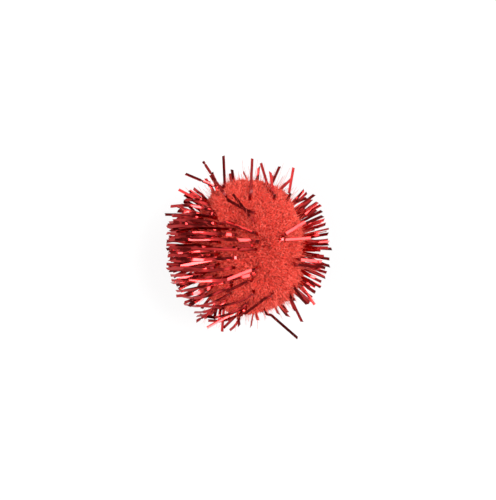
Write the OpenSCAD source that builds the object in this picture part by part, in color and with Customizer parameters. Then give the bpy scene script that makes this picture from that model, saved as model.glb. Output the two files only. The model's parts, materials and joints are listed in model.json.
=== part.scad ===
// Craft tinsel pom pom: a short tow of soft fibre and foil strips, tied tightly round its
// middle with thread and cut off at both sides, so that each side springs open into half a ball.
// The part stands on z = 0, where the pile is pressed flat, with the tie above the origin.

/* [Pile] */
// Radius of the fibre pile in the plane of the tie
pile_r = 10.1; // [9.8:0.1:10.4]
// Radius of the fibre pile at the two cut ends of the tow
pile_end_r = 9.0; // [8.6:0.1:9.4]
// Height of the tie's centre above the surface that the pom pom stands on
rest_h = 9.5; // [9.2:0.1:9.6]
// Tilt of the tow, with its right end down
tow_tilt = 17; // [14:1:20]

/* [Tinsel] */
// Distance from the tie to the cut end of a foil strip
reach = 12.4; // [12:0.1:12.8]
// Width of a foil strip
strip_w = 0.4; // [0.3:0.05:0.4]
// Thickness of a foil strip
strip_t = 0.03; // [0.02:0.005:0.03]

/* [Tie] */
// Radius of the waist that the thread squeezes the tow to
waist_r = 2.25; // [2.25:0.01:2.28]
// Thickness of the tying thread
thread_d = 0.4; // [0.3:0.05:0.4]
// Turns of thread side by side
thread_turns = 3; // [2:1:3]

/* [Hidden] */
$fn = 96;

// Foil lies in the tow in layers, at these radii in the waist, and leaves the pile at these
// angles from the tow's axis. Between the layers lies the fibre.
LAYER_SEAT = [0.42, 0.78, 1.12, 1.45, 1.76, 2.05];
LAYER_ANGLE = [9, 20, 32, 45, 62, 80];
// Strips round each layer
LAYER_STRIPS = [5, 22, 32, 40, 36, 24];
// How far to the left the strips that face up are swept over the pile
SWEPT_X = [12.5, 12.5, 12.4, 11.8, 10.6, 8.6];
LAYERS = len(LAYER_SEAT);
// Tufts that each layer of fibre is split into round the axis, from the core outwards
TUFTS = [1, 1, 2, 2, 3, 3, 3];

// Half of a foil layer's thickness in the waist, and half of its angle at the pile's surface
seat_half = 0.12;
slit_half = 2;
// Foil plies in a layer, one over another, and how far apart they are
PLIES = 4;
ply_pitch = 0.06;
ply_angle = 0.8;
// Half length of the waist along the tow, where the middle of a layer bends outwards
waist_x = 0.85;
// Half width of the thread's winding, with its clearance, and the room round its knot
winding_x = 0.6;
knot_room_r = 3.7;
// Half width of the parting between the two half balls
parting_x = 0.15;
// Angle left open between two tufts of a layer
tuft_gap = 3;
// Extra radius of a tuft's profile before the pile's round surface cuts it
overcut = 1;
// Lowest that foil comes above the surface that the part stands on
foil_floor = 0.35;
// Distance from the tie to the cut end of a leg that stays hidden in the pile
buried_reach = 9.3;
// Distance from the tie to the cut end of a leg that is swept over the pile
swept_r = 13.1;

// Strips seen from above, one row each: x and y where the strip leaves the pile, x and y of
// its cut end, and how far that end is from the tie. They run over the pile and stick out of it.
LOOSE = [
    [3.9, 1.6, 8.3, 3.8, 11.5],
    [3.9, 1.0, 9.1, 1.3, 11.6],
    [2.6, 0.3, -1.6, 0.2, 11.9],
    [1.4, 1.8, -3.4, 3.6, 12.0],
    [1.4, 3.6, -2.4, 7.8, 12.0],
    [0.4, 4.6, -3.2, 7.0, 11.7],
    [-2.9, 7.3, -7.0, 13.0, 14.8],
    [-3.3, 9.0, -3.9, 13.9, 14.6],
    [1.8, 7.1, 0.4, 12.9, 13.0],
    [2.4, 8.4, 1.8, 12.7, 13.0],
    [3.2, 7.3, 3.3, 11.4, 12.5],
    [3.7, 8.4, 4.7, 12.3, 13.2],
    [5.4, 7.8, 6.8, 12.1, 13.9],
    [-4.9, 8.4, -9.7, 11.2, 14.8],
    [-7.0, 6.8, -10.7, 8.8, 13.9],
    [-6.0, 4.4, -12.6, 4.8, 13.6],
    [-3.5, 3.3, -12.3, 3.3, 13.1],
    [-5.5, 1.7, -12.5, 0.8, 12.8],
    [-4.5, -1.2, -10.3, -2.0, 12.2],
    [-3.7, -1.9, -10.4, -2.9, 12.3],
    [-1.0, -0.3, -4.6, -0.4, 11.8],
    [-2.2, -5.0, -10.1, -6.6, 12.6],
    [-3.8, -3.4, -11.2, -5.2, 13.0],
    [1.0, -3.0, -3.2, -4.8, 11.9],
    [1.0, -4.8, -3.4, -6.8, 11.9],
    [-3.5, -8.6, -8.0, -11.3, 14.2],
    [-1.7, -8.4, -6.4, -12.1, 13.9],
    [-4.4, -8.6, -4.1, -12.9, 13.8],
    [0.1, -9.4, -3.9, -12.2, 13.0],
    [3.0, -9.4, 7.4, -13.9, 16.0],
    [5.9, -7.4, 8.1, -11.4, 14.1],
    [7.4, -6.2, 10.0, -8.8, 13.5],
    [6.4, -2.0, 11.0, -2.2, 12.3],
    [6.4, -2.7, 11.2, -3.0, 12.4],
    [5.3, -6.2, 8.2, -7.9, 12.2],
    [3.3, -7.0, -0.8, -10.2, 12.1],
];

function two_digits(i) = str(i < 10 ? "0" : "", i);
function tuft_count(m) = m < 0 ? 0 : TUFTS[m] + tuft_count(m - 1);
TUFT_TOTAL = tuft_count(len(TUFTS) - 1);

// A number from -1 to 1 that looks random and is the same every time
function scatter(a, b) = let(v = sin(a * 127.1 + b * 311.7) * 4375.85) 2 * (v - floor(v)) - 1;
function unit(v) = v / norm(v);
function polar(r, angle) = r * [cos(angle), sin(angle)];
// Where foil bends out of the waist, this far outside the middle of its layer: the bends are
// mitred, so that the plies stay as far apart in the pile as they are in the waist
function bend_x(j, above) = waist_x - above * tan(LAYER_ANGLE[j] / 2);
// Radius of the pile at an angle from the tow's axis
function pile_at(angle) = 1 / norm([cos(angle) / pile_end_r, sin(angle) / pile_r]);

// From the tow's frame to the part's frame, and back, for points measured from the tie
function to_part(p) = [
    p.x * cos(tow_tilt) + p.z * sin(tow_tilt), p.y, p.z * cos(tow_tilt) - p.x * sin(tow_tilt)
];
function to_tow(p) = [
    p.x * cos(tow_tilt) - p.z * sin(tow_tilt), p.y, p.x * sin(tow_tilt) + p.z * cos(tow_tilt)
];
// The point of a meridian plane, turned by azimuth from straight up towards +Y
function in_meridian(x, r, azimuth) = [x, r * sin(azimuth), r * cos(azimuth)];

module place_tow() {
    translate([0, 0, rest_h]) rotate([0, tow_tilt, 0]) children();
}

// ---- fibre ----
// Profiles are [radius, distance along the tow] and are turned round the tow's axis.
function ray(angle, side, r) = [r * sin(angle), side * r * cos(angle)];

function tuft_profile(m) =
    let(
        last = m == LAYERS,
        far = pile_r + overcut,
        inner_r = m == 0 ? 0 : LAYER_SEAT[m - 1] + seat_half,
        inner_a = m == 0 ? 0 : LAYER_ANGLE[m - 1] + slit_half,
        inner_x = m == 0 ? 0 : bend_x(m - 1, seat_half),
        outer_r = last ? waist_r : LAYER_SEAT[m] - seat_half,
        outer_a = last ? 90 : LAYER_ANGLE[m] - slit_half,
        outer_x = last ? 0 : bend_x(m, -seat_half),
        inner = m == 0
            ? [[0, -far], [0, far]]
            : [ray(inner_a, -1, far), [inner_r, -inner_x], [inner_r, inner_x], ray(inner_a, 1, far)],
        outer = last
            ? [
                [far, parting_x], [knot_room_r + 0.2, parting_x], [knot_room_r, winding_x],
                [outer_r, winding_x], [outer_r, -winding_x], [knot_room_r, -winding_x],
                [knot_room_r + 0.2, -parting_x], [far, -parting_x]
            ]
            : [ray(outer_a, 1, far), [outer_r, outer_x], [outer_r, -outer_x], ray(outer_a, -1, far)]
    )
    concat(inner, outer);

// One tuft: its fibres run through the waist and fan out on both sides of it
module pile_tuft(m, i) {
    low = m == 0 ? 0 : LAYER_ANGLE[m - 1];
    high = m == LAYERS ? 90 : LAYER_ANGLE[m];
    sector = 360 / TUFTS[m];
    whole = TUFTS[m] == 1;
    color([0.88, 0.27, 0.22])
    intersection() {
        place_tow() intersection() {
            rotate([0, 90, 0])
                rotate([0, 0, whole ? 0 : i * sector - (sector - tuft_gap) / 2])
                rotate_extrude(angle = whole ? 360 : sector - tuft_gap)
                polygon(tuft_profile(m));
            rotate([0, 0, 90]) sphere(r = pile_at((low + high) / 2));
        }
        translate([-2 * pile_r, -2 * pile_r, 0]) cube(4 * pile_r);
    }
}

// ---- foil ----
function ply_above(ply) = (ply - (PLIES - 1) / 2) * ply_pitch;
function ply_seat(j, ply) = LAYER_SEAT[j] + ply_above(ply);
function ply_out(j, ply) = LAYER_ANGLE[j] + (ply - (PLIES - 1) / 2) * ply_angle;

// Longest that a leg can be in a direction before it meets the surface that the part stands on
function floor_reach(side, angle, azimuth) =
    let(dz = to_part(in_meridian(side * cos(angle), sin(angle), azimuth)).z)
    dz < -0.1 ? (rest_h - foil_floor) / -dz : 100;

// Points of a leg outside the waist, as [along the tow, radius]: straight through the pile,
// then curling towards the tow's axis by the angle curl on its way to the cut end
function leg_points(j, ply, side, azimuth, leg_reach, curl, steps) =
    let(
        out = ply_out(j, ply),
        skin = pile_at(LAYER_ANGLE[j]),
        tip = min(leg_reach, floor_reach(side, out, azimuth), floor_reach(side, out - curl, azimuth)),
        bend = tip < skin + 1 ? 0 : curl,
        leave = min(skin, 0.75 * tip)
    )
    concat(
        [polar(leave, out)],
        [
            for (s = [1:steps])
                let(u = s / steps, a = out - bend * u, r = leave + (tip - leave) * pow(u, 1.4))
                polar(min(r, floor_reach(side, a, azimuth)), a)
        ]
    );

function normal_2d(path, i) =
    let(d = unit(path[min(i + 1, len(path) - 1)] - path[max(i - 1, 0)])) [-d.y, d.x];
function reversed(list) = [for (i = [len(list) - 1:-1:0]) list[i]];

// Outline of a strip seen along its width: its middle line given the foil's thickness
function band(path) = concat(
    [for (i = [0:len(path) - 1]) path[i] + strip_t / 2 * normal_2d(path, i)],
    [for (i = [len(path) - 1:-1:0]) path[i] - strip_t / 2 * normal_2d(path, i)]
);

function layer_azimuth(j, i) =
    let(
        pitch = 360 / LAYER_STRIPS[j],
        plies = j == 0 ? 1 : 2,
        room = (plies * pitch - 2 * asin(strip_w / 2 / ply_seat(j, 1))) / 2 / plies
    )
    (i + j / 2) * pitch + room * scatter(i, j);

function leg_curl(j, seed) = (j < 3 ? 4 : 7) * scatter(seed, j + 20);
function leg_reach(j, seed) = reach + 0.45 * scatter(seed, j + 3);

// A strip in a meridian plane, with both of its legs straight out of the pile or hidden in it
module straight_strip(j, ply, azimuth, seed, buried) {
    legs = [
        for (side = [-1, 1])
            leg_points(
                j, ply, side, azimuth,
                buried ? buried_reach : leg_reach(j, seed + 40 * side),
                buried ? 0 : leg_curl(j, seed + 60 * side), 4
            )
    ];
    seat = ply_seat(j, ply);
    bend = bend_x(j, ply_above(ply));
    path = concat([for (p = reversed(legs[0])) [-p.x, p.y]], [[-bend, seat], [bend, seat]], legs[1]);
    rotate([90 - azimuth, 0, 0])
        linear_extrude(strip_w, center = true)
        polygon(band(path));
}

// How far across a strip's swept end lies: on the near side the ends fan out
function swept_y(y) = y * (1.12 - 0.028 * min(0, y));
// How far to the left a swept end can lie when it is at y
function swept_far(y) = sqrt(pow(12.6 + 0.009 * y * y, 2) - y * y);

// Where a strip that faces up leaves the pile on the left, and where it is swept to, as one of
// the rows of LOOSE: the more it faces up, the more it is swept
function swept_row(j, ply, azimuth, seed) =
    let(
        out = polar(pile_at(LAYER_ANGLE[j]), ply_out(j, ply)),
        exit = to_part(in_meridian(-out.x, out.y, azimuth)),
        straight = exit * reach / norm(exit),
        y = swept_y(exit.y) + 0.25 * scatter(seed, j + 34),
        x = -min(swept_far(y), SWEPT_X[j] + 0.7 * scatter(seed, j + 40)),
        swept = min(1, 1.6 * cos(azimuth) + (exit.y < 0 ? 0.4 : 0))
    )
    [
        exit.x, exit.y,
        straight.x + (x - straight.x) * swept, straight.y + (y - straight.y) * swept,
        reach + (swept_r - reach) * swept + 0.3 * scatter(seed, j + 50)
    ];

module tinsel_layer(j) {
    color([0.72, 0.1, 0.14])
    place_tow() {
        for (i = [0:LAYER_STRIPS[j] - 1]) {
            azimuth = layer_azimuth(j, i);
            ply = j == 0 ? 1 : 1 + i % 2;
            faces_up = cos(azimuth) > 0.05;
            outer = j > 3;
            if (j == 0 || !faces_up) straight_strip(j, ply, azimuth, i, false);
            else if (outer && sin(azimuth) > 0.34) straight_strip(j, ply, azimuth, i, true);
            else ribbon(
                over_path(
                    swept_row(j, ply, azimuth, i), j, ply, -1, azimuth,
                    outer ? buried_reach : leg_reach(j, i)
                ),
                [0, cos(azimuth), -sin(azimuth)]
            );
        }
    }
}

// A loose strip's layer is the one that leaves the pile nearest to the place given for it
function nearest_layer(angle) =
    let(off = [for (a = LAYER_ANGLE) abs(a - angle)]) search(min(off), off)[0];

// The leg that leaves the pile on one side and runs over it to the cut end that row gives
function over_leg(row, j, ply, side, azimuth) =
    let(
        skin = pile_at(LAYER_ANGLE[j]),
        start = polar(skin, ply_out(j, ply)),
        from = unit(in_meridian(side * start.x, start.y, azimuth)),
        over = unit(above(row[0], row[1], pile_r)),
        to = unit(above(row[2], row[3], row[4])),
        steps = 5
    )
    [
        for (s = [0:steps])
            let(u = s / steps)
            (skin + (row[4] - skin) * pow(u, 1.2))
                * unit((1 - u) * (1 - u) * from + 2 * u * (1 - u) * over + u * u * to)
    ];

function over_path(row, j, ply, side, azimuth, other_reach) =
    let(
        seat = ply_seat(j, ply),
        bend = side * bend_x(j, ply_above(ply)),
        other = leg_points(j, ply, -side, azimuth, other_reach, 0, 3)
    )
    concat(
        [for (p = reversed(other)) in_meridian(-side * p.x, p.y, azimuth)],
        [in_meridian(-bend, seat, azimuth), in_meridian(bend, seat, azimuth)],
        over_leg(row, j, ply, side, azimuth)
    );

// The point at distance r from the tie that is above x, y in the part's frame, in the tow's frame
function above(x, y, r) = to_tow([x, y, sqrt(max(0.01, r * r - x * x - y * y))]);

function along(path, i) = unit(path[min(i + 1, len(path) - 1)] - path[max(i - 1, 0)]);

// The strip's width at each point of its path: it turns only as much as the path turns
function widths(path, across, i = 0) =
    let(
        t = along(path, i),
        w = unit(across - t * (across * t))
    )
    i == len(path) - 1 ? [w] : concat([w], widths(path, w, i + 1));

module ribbon(path, across) {
    n = len(path);
    w = widths(path, across);
    corners = [
        for (i = [0:n - 1])
            let(up = cross(along(path, i), w[i]))
            for (c = [[-1, -1], [1, -1], [1, 1], [-1, 1]])
                path[i] + w[i] * c[0] * strip_w / 2 + up * c[1] * strip_t / 2
    ];
    sides = [
        for (i = [0:n - 2])
            for (c = [0:3])
                let(a = 4 * i + c, b = 4 * i + (c + 1) % 4)
                each c < 2 ? [[a, a + 4, b + 4], [a, b + 4, b]] : [[a, a + 4, b], [b, a + 4, b + 4]]
    ];
    last = 4 * (n - 1);
    ends = [[0, 1, 2, 3], [last + 3, last + 2, last + 1, last]];
    polyhedron(corners, concat(sides, ends));
}

module tinsel_strip(k) {
    row = LOOSE[k];
    exit = above(row[0], row[1], pile_r);
    side = exit.x < 0 ? -1 : 1;
    azimuth = atan2(exit.y, exit.z);
    j = nearest_layer(acos(abs(exit.x) / norm(exit)));
    color([0.8, 0.12, 0.16])
    place_tow()
        ribbon(
            over_path(row, j, k % 2 * (PLIES - 1), side, azimuth, buried_reach),
            [0, cos(azimuth), -sin(azimuth)]
        );
}

// ---- tie ----
module thread_end(turn) {
    rotate([turn, 0, 0]) {
        cylinder(h = 1.3, d = thread_d);
        translate([0, 0, 1.3]) sphere(d = thread_d);
    }
}

// Turns of one thread round the waist, with its knot and trimmed ends in the room under it
module tie_thread() {
    turn_pitch = 0.9 * thread_d;
    centre_r = waist_r + thread_d / 2;
    color([0.6, 0.08, 0.1])
    place_tow() {
        for (i = [0:thread_turns - 1]) {
            translate([(i - (thread_turns - 1) / 2) * turn_pitch, 0, 0])
                rotate([0, 90, 0])
                rotate_extrude()
                translate([centre_r, 0])
                circle(d = thread_d);
        }
        translate([0, 0, -centre_r - 0.4]) {
            sphere(d = 2 * thread_d);
            thread_end(80);
            thread_end(-80);
        }
    }
}

tie_thread();
for (m = [0:LAYERS]) {
    for (i = [0:TUFTS[m] - 1]) {
        union() {
            pile_tuft(m, i);
        }
    }
}
for (k = [0:len(LOOSE) - 1]) {
    tinsel_strip(k);
}
for (j = [0:LAYERS - 1]) {
    tinsel_layer(j);
}
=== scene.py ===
import json
import math

import bmesh
import bpy
import numpy as np
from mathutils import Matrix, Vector, noise
from mathutils.bvhtree import BVHTree


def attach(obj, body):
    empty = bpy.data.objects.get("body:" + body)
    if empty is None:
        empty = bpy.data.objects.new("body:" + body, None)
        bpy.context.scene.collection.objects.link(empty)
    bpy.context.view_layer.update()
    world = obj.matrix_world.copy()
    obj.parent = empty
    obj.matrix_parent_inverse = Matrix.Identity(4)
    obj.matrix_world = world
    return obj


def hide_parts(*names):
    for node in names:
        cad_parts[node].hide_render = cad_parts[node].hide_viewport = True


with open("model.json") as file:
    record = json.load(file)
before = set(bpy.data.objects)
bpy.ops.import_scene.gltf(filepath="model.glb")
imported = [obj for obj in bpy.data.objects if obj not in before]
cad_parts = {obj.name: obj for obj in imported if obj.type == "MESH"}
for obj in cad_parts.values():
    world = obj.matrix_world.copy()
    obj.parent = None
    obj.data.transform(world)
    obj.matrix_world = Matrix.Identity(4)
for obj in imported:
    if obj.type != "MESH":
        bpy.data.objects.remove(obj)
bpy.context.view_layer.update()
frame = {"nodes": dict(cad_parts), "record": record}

MM = 0.001  # lengths are in mm, and become metres where a mesh, lamp or camera is made
RNG = np.random.default_rng(20261)  # the pile's random numbers
LOOSE_SEED, LAYER_SEED = 100, 500  # the foil's: one stream for each node, numbered from here

# ---------------------------------------------------------------- frame of the tow
TIE_MOUNT = next(m for m in frame["record"]["mounts"] if m["name"] == "tie")
TIE = np.array(TIE_MOUNT["pos_m"]) / MM
AXIS = np.array(TIE_MOUNT["axis"]) / np.linalg.norm(TIE_MOUNT["axis"])
ACROSS = np.array([0.0, 1.0, 0.0])
TOW = np.array([AXIS, ACROSS, np.cross(AXIS, ACROSS)])
UP = TOW[:, 2]  # the row's z in the tow's frame


def to_tow(points):
    """Row frame to the tow's frame: x along the tow, z up and away from the floor, tie at zero."""
    return (points - TIE) @ TOW.T


def to_row(points):
    return TIE + points @ TOW


def unit(v):
    return v / np.maximum(np.linalg.norm(v, axis=-1, keepdims=True), 1e-9)


def square_to(w, along):
    """Rows of w turned to be square to the rows of along, at length 1."""
    return unit(w - along * (w * along).sum(1, keepdims=True))


def smooth(x, low, high):
    """0 below low, 1 above high, and an even S-curve between them."""
    t = np.clip((x - low) / (high - low), 0, 1)
    return t * t * (3 - 2 * t)


NODES = sorted(frame["nodes"])
TUFTS = [n for n in NODES if n.startswith("pile_tuft")]
LOOSE = [n for n in NODES if n.startswith("tinsel_strip")]
LAYERS = [n for n in NODES if n.startswith("tinsel_layer")]


# ---------------------------------------------------------------- reading the CAD meshes
POINTS_PER_MM = 1e4  # grid on which points that coincide are found
EDGE_FACING = 0.98  # cosine from which a face belongs to a strip's edge and not to its film


def cad_mesh(name):
    """Points and triangles of a CAD node, with the points that coincide made one."""
    mesh = frame["nodes"][name].data
    co = np.empty(len(mesh.vertices) * 3)
    mesh.vertices.foreach_get("co", co)
    mesh.calc_loop_triangles()
    tri = np.empty(len(mesh.loop_triangles) * 3, dtype=int)
    mesh.loop_triangles.foreach_get("vertices", tri)
    steps = np.round(co.reshape(-1, 3) / MM * POINTS_PER_MM).astype(int)
    points, index = np.unique(steps, axis=0, return_inverse=True)
    return points * (1 / POINTS_PER_MM), index.reshape(-1)[tri].reshape(-1, 3)


def islands(count, tri):
    """A label for each point, the same over each separate solid."""
    label = np.arange(count)
    while True:
        low = label[tri].min(axis=1)
        new = label.copy()
        for c in range(3):
            np.minimum.at(new, tri[:, c], low)
        if (new == label).all():
            return label
        label = new


def rings_walked(points, tri):
    """The sections of a strip, four corners each, from its outermost end to its other end.

    Faces on the edges of a flat strip are merged in the CAD, and their triangles skip sections,
    so there only the faces of the film lead from one section to the next."""
    tip = points[np.argmax(np.linalg.norm(points, axis=1))]
    ring = np.argsort(np.linalg.norm(points - tip, axis=1))[:4].tolist()
    across = points[ring] - points[ring[0]]
    across = unit(across[np.argmax(np.linalg.norm(across, axis=1))])
    p = points[tri]
    normal = unit(np.cross(p[:, 1] - p[:, 0], p[:, 2] - p[:, 0]))
    on_edge = np.abs(normal @ across) > EDGE_FACING
    links = [set() for _ in points]
    for t in tri[~on_edge] if on_edge.sum() > len(tri) / 3 else tri:
        for i in t:
            links[i].update(t)
    rings, seen = [], set()
    while ring:
        rings.append(ring)
        seen.update(ring)
        ring = sorted(set().union(*(links[i] for i in ring)) - seen)
    return np.array(rings)


def strip_paths(name):
    """The middle line and the width's direction of each strip in a CAD node, in the tow's frame."""
    points, tri = cad_mesh(name)
    label = islands(len(points), tri)
    paths = []
    for one in np.unique(label):
        index = np.flatnonzero(label == one)
        mine = to_tow(points[index])
        rings = rings_walked(mine, np.searchsorted(index, tri[label[tri[:, 0]] == one]))
        centre = mine[rings].mean(axis=1)
        width = []
        for k, ring in enumerate(rings):
            t = unit(centre[min(k + 1, len(rings) - 1)] - centre[max(k - 1, 0)])
            flat = mine[ring] - centre[k]
            flat -= np.outer(flat @ t, t)
            w = unit(flat[np.argmax(np.linalg.norm(flat, axis=1))])
            if width and w @ width[-1] < 0:
                w = -w
            width.append(w)
        paths.append((centre, np.array(width)))
    return paths


# ---------------------------------------------------------------- meshes
def add_mesh(name, verts, faces, materials, face_material=None, rounded=True):
    """An object from points in the row's frame and faces that all have as many corners."""
    mesh = bpy.data.meshes.new(name)
    mesh.vertices.add(len(verts))
    mesh.vertices.foreach_set("co", (np.asarray(verts) * MM).ravel())
    faces = np.asarray(faces)
    side = faces.shape[1]
    mesh.loops.add(faces.size)
    mesh.loops.foreach_set("vertex_index", faces.ravel().astype(np.int32))
    mesh.polygons.add(len(faces))
    mesh.polygons.foreach_set("loop_start", np.arange(len(faces), dtype=np.int32) * side)
    mesh.polygons.foreach_set("use_smooth", np.full(len(faces), rounded))
    if face_material is not None:
        mesh.polygons.foreach_set("material_index", np.asarray(face_material, dtype=np.int32))
    mesh.update(calc_edges=True)
    mesh.validate()
    for m in materials:
        mesh.materials.append(m)
    obj = bpy.data.objects.new(name, mesh)
    bpy.context.scene.collection.objects.link(obj)
    return obj


def joined(parts):
    """One set of points, in the row's frame, and faces, out of several in the tow's frame."""
    verts, faces, start = [], [], 0
    for v, f in parts:
        verts.append(to_row(v))
        faces.append(f + start)
        start += len(v)
    return np.vstack(verts), np.vstack(faces)


def place(obj, nodes):
    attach(obj, "root")
    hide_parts(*nodes)


# ---------------------------------------------------------------- materials
FIBRE_REDS = [
    (0.90, 0.070, 0.044), (0.96, 0.100, 0.065), (0.78, 0.046, 0.032), (1.0, 0.15, 0.105)
]
FIBRE_SHARES = [0.42, 0.26, 0.2, 0.12]  # of the fibres, for each red
NOISE_LOW, NOISE_HIGH = 0.3, 0.7  # span in which nearly all of the noise lies


def new_material(name):
    material = bpy.data.materials.new(name)
    material.use_nodes = True
    tree = material.node_tree
    return material, tree, tree.nodes["Principled BSDF"]


def add_node(tree, kind, **values):
    """A shader node, with its settings and the values of its inputs."""
    made = tree.nodes.new(kind)
    for key, value in values.items():
        if hasattr(made, key):
            setattr(made, key, value)
        else:
            made.inputs[key.replace("_", " ")].default_value = value
    return made


def grain(tree, scale, detail=2.0):
    """Noise in the object's own space, its scale per metre."""
    coords = add_node(tree, "ShaderNodeTexCoord")
    texture = add_node(tree, "ShaderNodeTexNoise", Scale=scale, Detail=detail)
    tree.links.new(coords.outputs["Object"], texture.inputs["Vector"])
    return texture.outputs["Fac"]


def colour_ramp(tree, fac, stops, target):
    """A ramp of colours from a value, linked to the target."""
    ramp = add_node(tree, "ShaderNodeValToRGB")
    elements = ramp.color_ramp.elements
    for element, (position, colour) in zip(elements, (stops[0], stops[-1])):
        element.position = position
        element.color = (*colour, 1)
    for position, colour in stops[1:-1]:
        elements.new(position).color = (*colour, 1)
    tree.links.new(fac, ramp.inputs["Fac"])
    tree.links.new(ramp.outputs["Color"], target)


def map_range(tree, fac, span):
    """A value between the first two numbers of the span, moved to lie between the last two."""
    keys = ("From Min", "From Max", "To Min", "To Max")
    mapped = add_node(tree, "ShaderNodeMapRange", **dict(zip(keys, span)))
    tree.links.new(fac, mapped.inputs["Value"])
    return mapped.outputs["Result"]


def drive_roughness(tree, shader, fac, low, high):
    rough = map_range(tree, fac, (NOISE_LOW, NOISE_HIGH, low, high))
    tree.links.new(rough, shader.inputs["Roughness"])


def drive_bump(tree, shader, fac, strength, metres):
    bump = add_node(tree, "ShaderNodeBump", Strength=strength, Distance=metres)
    tree.links.new(fac, bump.inputs["Height"])
    tree.links.new(bump.outputs["Normal"], shader.inputs["Normal"])


def foil_material():
    """Metallised red film: a coloured mirror with scuffs and dents, and a clear, glossy face."""
    material, tree, shader = new_material("foil_red")
    shader.inputs["Metallic"].default_value = 1.0
    shader.inputs["Coat Weight"].default_value = 0.3
    shader.inputs["Coat Roughness"].default_value = 0.06
    reds = [(0.3, (0.34, 0.010, 0.012)), (0.7, (0.46, 0.019, 0.017))]
    scuffs = grain(tree, 900.0, 3.0)
    colour_ramp(tree, scuffs, reds, shader.inputs["Base Color"])
    drive_roughness(tree, shader, scuffs, 0.08, 0.17)
    drive_bump(tree, shader, grain(tree, 350.0, 1.0), 0.12, 0.0002)
    return material


def fibre_material(number, colour):
    """Dyed fibre, matt, flecked by noise: dark flecks are uneven dye and painted shade between the
    parted cut ends, pale flecks painted highlights on the ends.
    """
    material, tree, shader = new_material(f"fibre_red_{number + 1}")
    # Painted light: the dark stop is painted shade for the gaps between cut ends, the pale stop a
    # painted highlight on the ends.
    painted_gap_shade = tuple(c * 0.34 for c in colour)
    painted_tip_highlight = (1.0, colour[1] + 0.15, colour[2] + 0.12)
    reds = [(0.36, painted_gap_shade), (0.46, colour), (0.56, colour), (0.67, painted_tip_highlight)]
    flecks = grain(tree, 3200.0)
    colour_ramp(tree, flecks, reds, shader.inputs["Base Color"])
    drive_roughness(tree, shader, flecks, 0.65, 0.85)
    drive_bump(tree, shader, flecks, 0.2, 0.00003)
    shader.inputs["Sheen Weight"].default_value = 0.12
    shader.inputs["Sheen Roughness"].default_value = 0.4
    shader.inputs["Sheen Tint"].default_value = (1.0, 0.5, 0.42, 1)
    shader.inputs["Specular IOR Level"].default_value = 0.2
    return material


def core_material():
    """The mass of fibre under the cut ends."""
    material, tree, shader = new_material("fibre_mass")
    reds = [(0.34, (0.42, 0.022, 0.016)), (0.5, (0.80, 0.065, 0.045)), (0.68, (0.96, 0.13, 0.09))]
    clumps = grain(tree, 4200.0, 3.0)
    colour_ramp(tree, clumps, reds, shader.inputs["Base Color"])
    drive_roughness(tree, shader, clumps, 0.75, 0.95)
    drive_bump(tree, shader, clumps, 0.6, 0.0001)
    return material


def thread_material():
    material, tree, shader = new_material("thread_red")
    reds = [(0.3, (0.22, 0.008, 0.010)), (0.7, (0.45, 0.030, 0.030))]
    lay = grain(tree, 6000.0)
    colour_ramp(tree, lay, reds, shader.inputs["Base Color"])
    drive_roughness(tree, shader, lay, 0.6, 0.8)
    drive_bump(tree, shader, lay, 0.5, 0.00005)
    return material


# ---------------------------------------------------------------- foil strips
STRIP_T = 0.02
STEP = 0.45  # distance between sections of a strip
FREE_FROM = 7.0  # distance from the tie at which a strip comes free of the fibre's grip
FREE_RUN = 4.0  # and the distance over which it does
CUT_SLANT = 0.12  # spread of the slant of the cut ends
CROSS_SECTION = [(-0.5, -1), (-0.5, 0), (-0.5, 1), (0.5, 1), (0.5, 0), (0.5, -1)]
SHARP = math.radians(35)

RUNS = (0.15, 0.4)  # one less the cosine to the outward direction: a strip runs along the pile
NEAR = (-1.3, -0.5)  # height over the fibre's skin from which, and at which, it is near it
LAYER_CLEAR = (0.02, 0.3)  # least and most height of a layer's strip over the fibre
LAYER_LEVEL = 0.8  # how nearly level it lies where it is free
LOOSE_CLEAR = 0.4
LOOSE_LEVEL = 0.94
LOOSE_LEVEL_RUN = 2.5  # distance over which a loose strip comes level
LOOSE_RISE = 1.2  # the most that one is raised
OVER = 6  # sections of a CAD strip from its cut end to where it comes out of the pile

# Width, and spreads of twist (radians), bow and cup.
LOOSE_STYLE = (0.42, 0.08, 0.05, 0.01)
LAYER_STYLE = (0.45, 0.4, 0.2, 0.02)


def spline(points, extra, step):
    """Points and a second set of vectors, resampled evenly along a Catmull-Rom curve."""
    padded = np.vstack([2 * points[0] - points[1], points, 2 * points[-1] - points[-2]])
    wide = np.vstack([extra[0], extra, extra[-1]])
    out, more = [], []
    for i in range(1, len(padded) - 2):
        p0, p1, p2, p3 = padded[i - 1 : i + 3]
        count = max(2, int(round(np.linalg.norm(p2 - p1) / step)))
        for t in np.arange(count) / count:
            out.append(
                0.5 * (2 * p1 + (p2 - p0) * t + (2 * p0 - 5 * p1 + 4 * p2 - p3) * t * t
                       + (3 * p1 - p0 - 3 * p2 + p3) * t ** 3)
            )
            more.append((1 - t) * wide[i] + t * wide[i + 1])
    out.append(points[-1])
    more.append(extra[-1])
    return np.array(out), np.array(more)


def rotate(v, axis, angle):
    """Rows of v turned about rows of axis."""
    c, s = np.cos(angle)[:, None], np.sin(angle)[:, None]
    return v * c + np.cross(axis, v) * s + axis * (v * axis).sum(1, keepdims=True) * (1 - c)


def skin_at(d):
    """Radius that the fibre's cut ends reach to in each direction."""
    r = pile_radius(d)
    return r + lumps(to_row(d * r[:, None]))


def over_pile(c, clear):
    """A strip's line, raised out of the fibre where it runs along the pile's surface."""
    reach = np.linalg.norm(c, axis=1)
    d = c / reach[:, None]
    skin = skin_at(d)
    along = unit(np.gradient(c, axis=0))
    runs = smooth(1 - np.abs((along * d).sum(1)), *RUNS)
    near = smooth(reach - skin, *NEAR)
    rise = np.maximum(skin + clear - reach, 0) * runs * near
    return c + d * rise[:, None]


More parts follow.
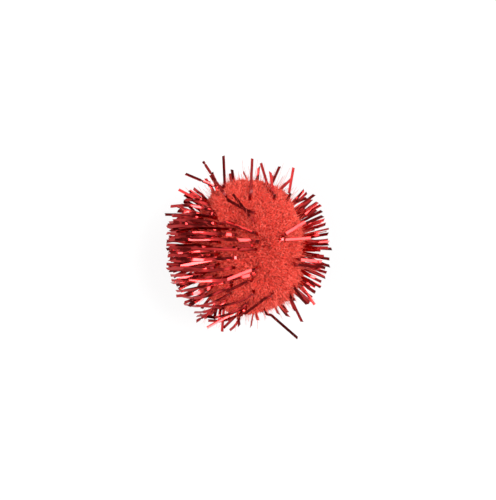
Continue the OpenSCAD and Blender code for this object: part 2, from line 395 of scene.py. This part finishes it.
def straightened(centre):
    """A strip whose visible leg is drawn straight, and raised to clear the fibre."""
    c = centre.copy()
    s = np.linspace(0, 1, OVER)[:, None]
    leg = c[0] * (1 - s) + c[OVER - 1] * s
    reach = np.linalg.norm(leg, axis=1)
    short = (skin_at(leg / reach[:, None]) + LOOSE_CLEAR - reach)[:-1]
    c[:OVER] = leg + unit(leg[OVER // 2]) * np.clip(np.max(short), 0, LOOSE_RISE)
    return c


def ribbon(centre, width, rng, style, loose):
    """A strip of foil along a path: slightly cupped, with its own twist, bow and cut."""
    strip_w, twist, bow, cup = style
    c, w = spline(centre, width, STEP)
    along = unit(np.gradient(c, axis=0))
    w = square_to(w, along)
    reach = np.linalg.norm(c, axis=1)
    free = np.clip((reach - FREE_FROM) / FREE_RUN, 0, 1)
    leg = np.where(np.arange(len(c)) < np.argmin(reach), 0, 1)
    up = np.cross(along, w)
    lateral = rng.normal(0, bow, 2)[leg] * free ** 2
    lift = rng.normal(0, bow, 2)[leg] * free ** 2
    c = c + w * lateral[:, None] + up * lift[:, None]
    if not loose:
        c = over_pile(c, rng.uniform(*LAYER_CLEAR))
    along = unit(np.gradient(c, axis=0))
    w = square_to(w, along)
    level = np.cross(along, UP)
    level *= np.sign((level * w).sum(1, keepdims=True))
    if loose:
        share = np.clip((reach - FREE_FROM) / LOOSE_LEVEL_RUN, 0, LOOSE_LEVEL)[:, None]
    else:
        share = (LAYER_LEVEL * free)[:, None]
    w = square_to(unit(w * (1 - share) + level * share), along)
    w = rotate(w, along, rng.normal(0, twist, 2)[leg] * (0.5 + 0.5 * free))
    up = np.cross(along, w)
    bend = rng.normal(0, cup, 2)[leg] * np.clip(free * 2, 0, 1)
    slant = np.zeros(len(c))
    slant[[0, -1]] = rng.normal(0, CUT_SLANT, 2)
    verts = np.stack([
        c + w * x * (strip_w / 2) + along * (slant * x)[:, None]
        + up * (face * STRIP_T + bend * (x * x - 0.5))[:, None]
        for face, x in CROSS_SECTION
    ], axis=1).reshape(-1, 3)
    n, sides = len(c), len(CROSS_SECTION)
    faces = []
    for k in range(n - 1):
        for a in range(sides):
            p, q = sides * k + a, sides * k + (a + 1) % sides
            faces.append([p, q, q + sides, p + sides])
    last = sides * (n - 1)
    faces += [[0, 5, 4, 1], [1, 4, 3, 2]]
    faces += [[last + 1, last + 4, last + 5, last], [last + 2, last + 3, last + 4, last + 1]]
    return verts, np.array(faces)


def foil_piece(name, node_name, material, seed, style, loose):
    rng = np.random.default_rng(seed)
    strips = []
    for centre, width in strip_paths(node_name):
        path = straightened(centre) if loose else centre
        strips.append(ribbon(path, width, rng, style, loose))
    obj = add_mesh(name, *joined(strips), [material])
    obj.data.set_sharp_from_angle(angle=SHARP)
    place(obj, [node_name])


def build_foil():
    foil = foil_material()
    for i, name in enumerate(LOOSE):
        foil_piece(f"foil_strip_{i + 1:02d}", name, foil, LOOSE_SEED + i, LOOSE_STYLE, True)
    for i, name in enumerate(LAYERS):
        foil_piece(f"foil_layer_{i + 1}", name, foil, LAYER_SEED + i, LAYER_STYLE, False)


# ---------------------------------------------------------------- pile
FIBRES = 100000
LEVELS = np.array([0.0, 0.5, 0.94, 1.0])  # sections of a fibre, from root to tip
FIBRE_R = np.array([0.045, 0.05, 0.04, 0.0])  # and its radius there
CORNERS = (0, 2.0944, 4.1888)  # of a fibre's section
THICK = (0.8, 1.25)  # least and most thickness, times the radius
SCATTER = 0.006
TIP_SPREAD = 0.11
ROOT_DEPTH = (1.3, 1.9)
LEAN, LEAN_FLATTENED = 0.36, 0.6  # spread of the lean, and how much of its outward part goes
CRIMP = 0.13
STRAYS, STRAY_THICK = 0.05, 0.45  # share of fibres that stand out, and how thin they are
STRAY_OUT = (2.0, 0.3)  # shape and scale of how far
HAIRS, HAIR_OUT = 160, (1.5, 4.5)  # the longest few
FIBRE_FLOOR = (0.02, 0.03)  # least height of a fibre over the floor, and its random part
CORE_DEPTH, CORE_FLOOR = 0.75, 0.05
PILE_FLOOR = 0.12
CORE_SUBDIVISIONS = 6

# Where the pile is lower than its even shape: axis and way in the tow's frame, the cosines
# between which it goes down, and how far. Foil lies over both ends, and a pit is over the tie.
DIPS = [(0, -1, 0.6, 0.95, 0.1), (0, 1, 0.45, 0.9, 0.7), (2, 1, 0.992, 0.9995, 0.7)]

# Swells and clumps of fibre: how many to a mm, the noise's shift, and height.
LUMPS = [(0.2, 3.1, 0.75), (0.75, 17.0, 0.4)]


def pile_surface():
    """A tree of all tufts' faces, the tuft that each face belongs to, and the radius of the pile
    round the tow and at the ends."""
    verts, faces, owner, start = [], [], [], 0
    for t, name in enumerate(TUFTS):
        p, f = cad_mesh(name)
        verts.append(p)
        faces.append(f + start)
        owner += [t] * len(f)
        start += len(p)
    verts = np.vstack(verts)
    tree = BVHTree.FromPolygons(verts.tolist(), np.vstack(faces).tolist())
    ends = np.abs(to_tow(cad_mesh(TUFTS[0])[0])[:, 0]).max()
    return tree, np.array(owner), np.linalg.norm(to_tow(verts), axis=1).max(), ends


SURFACE, OWNER, PILE_R, PILE_END_R = pile_surface()


def pile_radius(d):
    """Radius of the fibre pile in each direction (unit rows, tow's frame), over the floor."""
    r = 1 / np.linalg.norm(d / np.array([PILE_END_R, PILE_R, PILE_R]), axis=1)
    for axis, way, low, high, depth in DIPS:
        r = r - depth * smooth(way * d[:, axis], low, high)
    down = -(d @ TOW)[:, 2]
    floor = (TIE[2] - PILE_FLOOR) / np.maximum(down, 1e-6)
    return np.minimum(r, np.where(down > 0, floor, r))


def sphere_directions(count):
    """Directions spread evenly, along a spiral."""
    k = np.arange(count) + 0.5
    z = 1 - 2 * k / count
    turn = k * math.pi * (3 - math.sqrt(5))
    r = np.sqrt(1 - z * z)
    return np.stack([r * np.cos(turn), r * np.sin(turn), z], axis=1)


def noise_at(points, scale, shift):
    return np.array([noise.noise(Vector((p * scale + shift).tolist())) for p in points])


def lumps(skin):
    """How far the pile stands out of its even shape at points in the row's frame."""
    return sum(noise_at(skin, scale, shift) * height for scale, shift, height in LUMPS)


def tuft_at(points_row):
    return np.array([OWNER[SURFACE.find_nearest(p)[2]] for p in points_row.tolist()])


def fibre_field():
    """Each fibre's direction, root and tip distance, lean, crimp, whether it strays, and tuft."""
    d = unit(sphere_directions(FIBRES) + RNG.normal(0, SCATTER, (FIBRES, 3)))
    r = pile_radius(d)
    skin = to_row(d * r[:, None])
    r = r + lumps(skin)
    tip = r + RNG.normal(0, TIP_SPREAD, FIBRES)
    stray = RNG.random(FIBRES) < STRAYS
    tip = np.where(stray, tip + RNG.gamma(*STRAY_OUT, FIBRES), tip)
    hair = RNG.choice(FIBRES, HAIRS, replace=False)
    stray[hair] = True
    tip[hair] += RNG.uniform(*HAIR_OUT, HAIRS)
    root = r - RNG.uniform(*ROOT_DEPTH, FIBRES)
    lean = RNG.normal(0, LEAN, (FIBRES, 3))
    lean -= LEAN_FLATTENED * d * (lean * d).sum(1, keepdims=True)
    crimp = RNG.normal(0, CRIMP, (FIBRES, 3))
    return d, root, tip, lean, crimp, stray, tuft_at(skin)


def fibre_meshes():
    """The fibres' points, triangles and the red of each triangle, for each tuft."""
    d, root, tip, lean, crimp, stray, tuft = fibre_field()
    side = unit(np.cross(d, RNG.normal(0, 1, d.shape)))
    other = np.cross(d, side)
    shade = RNG.choice(len(FIBRE_REDS), FIBRES, p=FIBRE_SHARES)
    thick = RNG.uniform(*THICK, FIBRES) * np.where(stray, STRAY_THICK, 1.0)
    rings = []
    for level, radius in zip(LEVELS, FIBRE_R):
        centre = d * (root + (tip - root) * level)[:, None] + lean * level ** 2
        centre += crimp * math.sin(math.pi * level)
        if radius == 0:
            rings.append(centre[:, None, :])
            continue
        corners = [
            centre + (side * math.cos(a) + other * math.sin(a)) * (radius * thick)[:, None]
            for a in CORNERS
        ]
        rings.append(np.stack(corners, axis=1))
    verts = np.concatenate(rings, axis=1)
    tri = []
    for k in range(2):
        for c in range(3):
            a, b = 3 * k + c, 3 * k + (c + 1) % 3
            tri += [[a, b, b + 3], [a, b + 3, a + 3]]
    for c in range(3):
        tri.append([6 + c, 6 + (c + 1) % 3, 9])
    tri = np.array(tri)
    row = to_row(verts.reshape(-1, 3)).reshape(FIBRES, -1, 3)
    least, extra = FIBRE_FLOOR
    row[..., 2] = np.maximum(row[..., 2], least + extra * RNG.random((FIBRES, 1)))
    out = []
    for t in range(len(TUFTS)):
        mine = np.flatnonzero(tuft == t)
        v = row[mine].reshape(-1, 3)
        f = (tri[None] + (np.arange(len(mine)) * verts.shape[1])[:, None, None]).reshape(-1, 3)
        out.append((v, f, np.repeat(shade[mine], len(tri))))
    return out


def core_meshes():
    """The mass of fibre under the cut ends, one closed lump for each tuft."""
    ball = bmesh.new()
    bmesh.ops.create_icosphere(ball, subdivisions=CORE_SUBDIVISIONS, radius=1.0)
    d = np.array([v.co[:] for v in ball.verts])
    faces = np.array([[v.index for v in f.verts] for f in ball.faces])
    ball.free()
    r = pile_radius(unit(d))
    skin = to_row(d * r[:, None])
    depth = CORE_DEPTH - lumps(skin)
    verts = to_row(d * (r - depth)[:, None])
    verts[:, 2] = np.maximum(verts[:, 2], CORE_FLOOR)
    tuft = tuft_at(to_row(unit(d[faces].mean(axis=1)) * PILE_R))
    out = []
    for t in range(len(TUFTS)):
        mine = faces[tuft == t]
        edges = [(f[a], f[b]) for f in mine for a, b in ((0, 1), (1, 2), (2, 0))]
        known = set(edges)
        rim = [(a, b) for a, b in edges if (b, a) not in known]
        used, index = np.unique(mine, return_inverse=True)
        new = {old: k for k, old in enumerate(used)}
        v = np.vstack([verts[used], TIE[None]])
        fan = np.array([[new[b], new[a], len(used)] for a, b in rim]).reshape(-1, 3)
        out.append((v, np.vstack([index.reshape(-1, 3), fan])))
    return out


def build_pile():
    reds = [fibre_material(i, c) for i, c in enumerate(FIBRE_REDS)]
    mass = core_material()
    cores, fibres = core_meshes(), fibre_meshes()
    for t, name in enumerate(TUFTS):
        v, f = cores[t]
        core = add_mesh(f"fibre_mass_{t + 1:02d}", v, f, [mass])
        place(core, [name])
        v, f, shade = fibres[t]
        fuzz = add_mesh(f"fibre_ends_{t + 1:02d}", v, f, reds, shade)
        place(fuzz, [name])


# ---------------------------------------------------------------- tie
THREAD_R = 0.2
TURNS, PITCH, CROWDING = 3, 0.36, 0.8  # the turns lie closer together than the pitch in CAD
PLY_R, PLY_OUT, PLY_TWISTS = 0.11, 0.09, 40  # radius, distance from the thread's middle, radians
KNOT_R, KNOT_DROP = 0.17, 0.4
CUT_END = (0.75, 0.25)  # reach of a cut thread end, and how far it curls back


def tube(path, radius, sides):
    along = unit(np.gradient(path, axis=0))
    side = unit(np.cross(along, np.array([0.37, 0.11, 0.92])))
    other = np.cross(along, side)
    a = np.arange(sides) / sides * 2 * math.pi
    rings = (
        path[:, None] + side[:, None] * np.cos(a)[None, :, None] * radius
        + other[:, None] * np.sin(a)[None, :, None] * radius
    )
    n = len(path)
    verts = np.vstack([rings.reshape(-1, 3), path[:1], path[-1:]])
    faces = []
    for k in range(n - 1):
        for c in range(sides):
            p, q = k * sides + c, k * sides + (c + 1) % sides
            faces += [[p, q, q + sides], [p, q + sides, p + sides]]
    for c in range(sides):
        e = (c + 1) % sides
        faces.append([e, c, n * sides])
        faces.append([(n - 1) * sides + c, (n - 1) * sides + e, n * sides + 1])
    return verts, np.array(faces)


def build_tie():
    """Two plies twisted together, wound round the waist, with a knot and two cut ends."""
    points = to_tow(cad_mesh("tie_thread")[0])
    waist = np.linalg.norm(points[:, 1:], axis=1).min() + THREAD_R
    t = np.linspace(0, 1, 420)
    a = t * TURNS * 2 * math.pi + math.pi
    shift = (t - 0.5) * TURNS * PITCH * CROWDING
    spine = np.stack([shift, waist * np.sin(a), waist * np.cos(a)], axis=1)
    out = unit(spine * np.array([0, 1, 1]))
    parts = []
    for ply in (0, math.pi):
        twist = (t * TURNS * PLY_TWISTS + ply)[:, None]
        path = spine + PLY_OUT * (out * np.cos(twist) + np.array([1.0, 0, 0]) * np.sin(twist))
        parts.append(tube(path, PLY_R, 6))
    loop = np.linspace(0, 1, 120) * 4 * math.pi
    centre = np.array([0, 0, -waist - KNOT_DROP])
    knot = centre + np.stack(
        [0.22 * np.sin(loop + 0.4), 0.22 * np.cos(1.5 * loop), 0.2 * np.cos(loop)], axis=1
    )
    parts.append(tube(knot, KNOT_R, 8))
    reach, curl = CUT_END
    for way in (-1, 1):
        q = np.linspace(0, 1, 14)[:, None]
        end = centre + np.array([0, way * reach, -reach]) * q + np.array([0, 0, curl]) * q * q
        parts.append(tube(end, KNOT_R, 8))
    obj = add_mesh("tie_winding", *joined(parts), [thread_material()])
    place(obj, ["tie_thread"])


# ---------------------------------------------------------------- studio
CAMERA_HEIGHT = 600.0  # far enough that the near strips aren't enlarged
CAMERA_OFF = (-0.15, -0.46)
VIEW_W = 75.9  # width of the view at the height of the tie
SENSOR = 36.0
FLOOR_HALF = 4000.0

# Lamps: name, place, size and watts. All face the tie.
LAMPS = [
    ("soft_right", (240, 75, 430), (300, 300), 2.75),
    ("soft_left", (-400, -100, 320), (170, 220), 2.1),
]

# The room's grey at each height of the sky, from the horizon up.
SKY = [
    (0.0, 0.95), (0.03, 0.95), (0.1, 0.5), (0.3, 0.55), (0.6, 1.3), (0.82, 1.2), (0.95, 0.65)
]
PATCHES = (0.42, 0.58, 0.25, 1.6)  # noise from and to, and the brightness it gives, from and to
HORIZON = (0.03, 0.12)  # heights of the sky between which the patches fade in


def build_camera():
    """Straight down."""
    camera = bpy.data.cameras.new("camera")
    camera.sensor_fit = "HORIZONTAL"
    camera.sensor_width = SENSOR
    camera.lens = SENSOR * (CAMERA_HEIGHT - TIE[2]) / VIEW_W
    camera.clip_end = 100
    obj = bpy.data.objects.new("camera", camera)
    obj.location = [v * MM for v in (*CAMERA_OFF, CAMERA_HEIGHT)]
    scene = bpy.context.scene
    scene.collection.objects.link(obj)
    scene.camera = obj
    scene.view_settings.view_transform = "Standard"
    scene.view_settings.look = "None"


def build_floor():
    material, _, shader = new_material("floor_white")
    shader.inputs["Base Color"].default_value = (0.16, 0.16, 0.16, 1)
    shader.inputs["Roughness"].default_value = 0.9
    shader.inputs["Specular IOR Level"].default_value = 0.0
    shader.inputs["Emission Color"].default_value = (1, 1, 1, 1)
    shader.inputs["Emission Strength"].default_value = 0.77
    corners = np.array([[-1, -1, 0], [1, -1, 0], [1, 1, 0], [-1, 1, 0]]) * FLOOR_HALF
    floor = add_mesh("floor", corners, [[0, 1, 2, 3]], [material], rounded=False)


def build_lamps():
    middle = Vector((0, 0, TIE[2]))
    for name, spot, size, watts in LAMPS:
        lamp = bpy.data.lights.new(name, "AREA")
        lamp.shape = "RECTANGLE"
        lamp.size, lamp.size_y = (s * MM for s in size)
        lamp.energy = watts
        obj = bpy.data.objects.new(name, lamp)
        obj.location = Vector(spot) * MM
        obj.rotation_euler = (middle - Vector(spot)).to_track_quat("-Z", "Y").to_euler()
        bpy.context.scene.collection.objects.link(obj)


def build_room():
    """A pale room with brighter and darker patches for the foil, and none near the horizon."""
    world = bpy.data.worlds.new("studio")
    bpy.context.scene.world = world
    world.use_nodes = True
    tree = world.node_tree
    back = tree.nodes["Background"]
    coords = add_node(tree, "ShaderNodeTexCoord")
    split = add_node(tree, "ShaderNodeSeparateXYZ")
    tree.links.new(coords.outputs["Generated"], split.inputs["Vector"])
    greys = [(height, (grey,) * 3) for height, grey in SKY]
    colour_ramp(tree, split.outputs["Z"], greys, back.inputs["Color"])
    room = add_node(tree, "ShaderNodeTexNoise", Scale=1.7, Detail=1.0)
    tree.links.new(coords.outputs["Generated"], room.inputs["Vector"])
    patches = map_range(tree, room.outputs["Fac"], PATCHES)
    above = map_range(tree, split.outputs["Z"], (*HORIZON, 0.0, 1.0))
    even = add_node(tree, "ShaderNodeMix", data_type="FLOAT")
    even.inputs["A"].default_value = 1.0
    tree.links.new(above, even.inputs["Factor"])
    tree.links.new(patches, even.inputs["B"])
    tree.links.new(even.outputs["Result"], back.inputs["Strength"])


build_camera()
build_floor()
build_lamps()
build_room()
build_foil()
build_pile()
build_tie()
